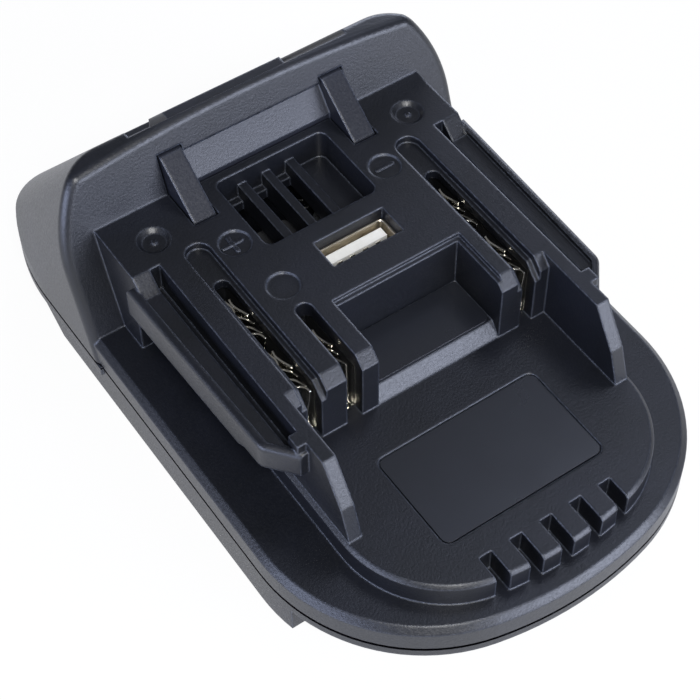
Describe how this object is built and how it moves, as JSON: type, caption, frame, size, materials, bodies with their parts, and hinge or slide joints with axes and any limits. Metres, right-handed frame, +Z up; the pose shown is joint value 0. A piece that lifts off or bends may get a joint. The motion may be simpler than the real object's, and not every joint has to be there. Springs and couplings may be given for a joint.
{
  "type": "battery adapter",
  "caption": "Slide battery adapter with a rail and slot foot for a tool on top, a sprung latch in a hood and a rail dock for a battery of another kind underneath.",
  "frame": {"origin": "middle of the footprint, on the surface that the skirts rest on", "axes": "+Z up, +Y along the length toward the hood with the latch, so that the rounded nose points to -Y, and +X to the right as seen from the nose"},
  "size_m": [0.0764, 0.121, 0.0414],
  "materials": {
    "housing_plastic": "blue-black charcoal, fine spark texture",
    "latch_plastic": "charcoal, satin",
    "button_plastic": "charcoal, satin",
    "holder_plastic": "black, plain moulded",
    "contact_metal": "pale gold plated",
    "spring_steel": "drawn wire",
    "screw_steel": "black oxide",
    "socket_steel": "nickel plated",
    "tongue_plastic": "white, satin",
    "board_laminate": "black solder mask",
    "ferrite": "dark grey, dull",
    "capacitor_can": "satin",
    "chip_plastic": "black, dull",
    "label_film": "black, semi-gloss"
  },
  "bodies": {
    "housing": {"upper_shell": "housing_plastic", "lower_shell": "housing_plastic", "latch_spring_left": "spring_steel", "latch_spring_right": "spring_steel", "positive_holder": "holder_plastic", "positive_contact": "contact_metal", "negative_holder": "holder_plastic", "negative_contact": "contact_metal", "sense_holder": "holder_plastic", "sense_contact": "contact_metal", "usb_shell": "socket_steel", "usb_tongue": "tongue_plastic", "usb_contacts": "contact_metal", "circuit_board": "board_laminate", "power_inductor": "ferrite", "input_capacitor": "capacitor_can", "output_capacitor": "capacitor_can", "converter_chip": "chip_plastic", "rectifier_diode": "chip_plastic", "positive_blade": "contact_metal", "positive_strip": "contact_metal", "negative_blade": "contact_metal", "negative_strip": "contact_metal", "sense_blade": "contact_metal", "sense_strip": "contact_metal", "battery_terminal_block": "holder_plastic", "label_plate": "label_film", "usb_label_plate": "label_film", "case_screws": "screw_steel"},
    "latch": {"latch_hook": "latch_plastic", "release_button": "button_plastic"}
  },
  "joints": [
    {"name": "latch_slide", "type": "slide", "parent": "housing", "child": "latch", "axis": [0, 0, -1], "range_m": [0, 0.0066], "stiffness_N_per_m": 500, "springref_m": -0.01, "deforming": ["latch_spring_left", "latch_spring_right"]}
  ]
}
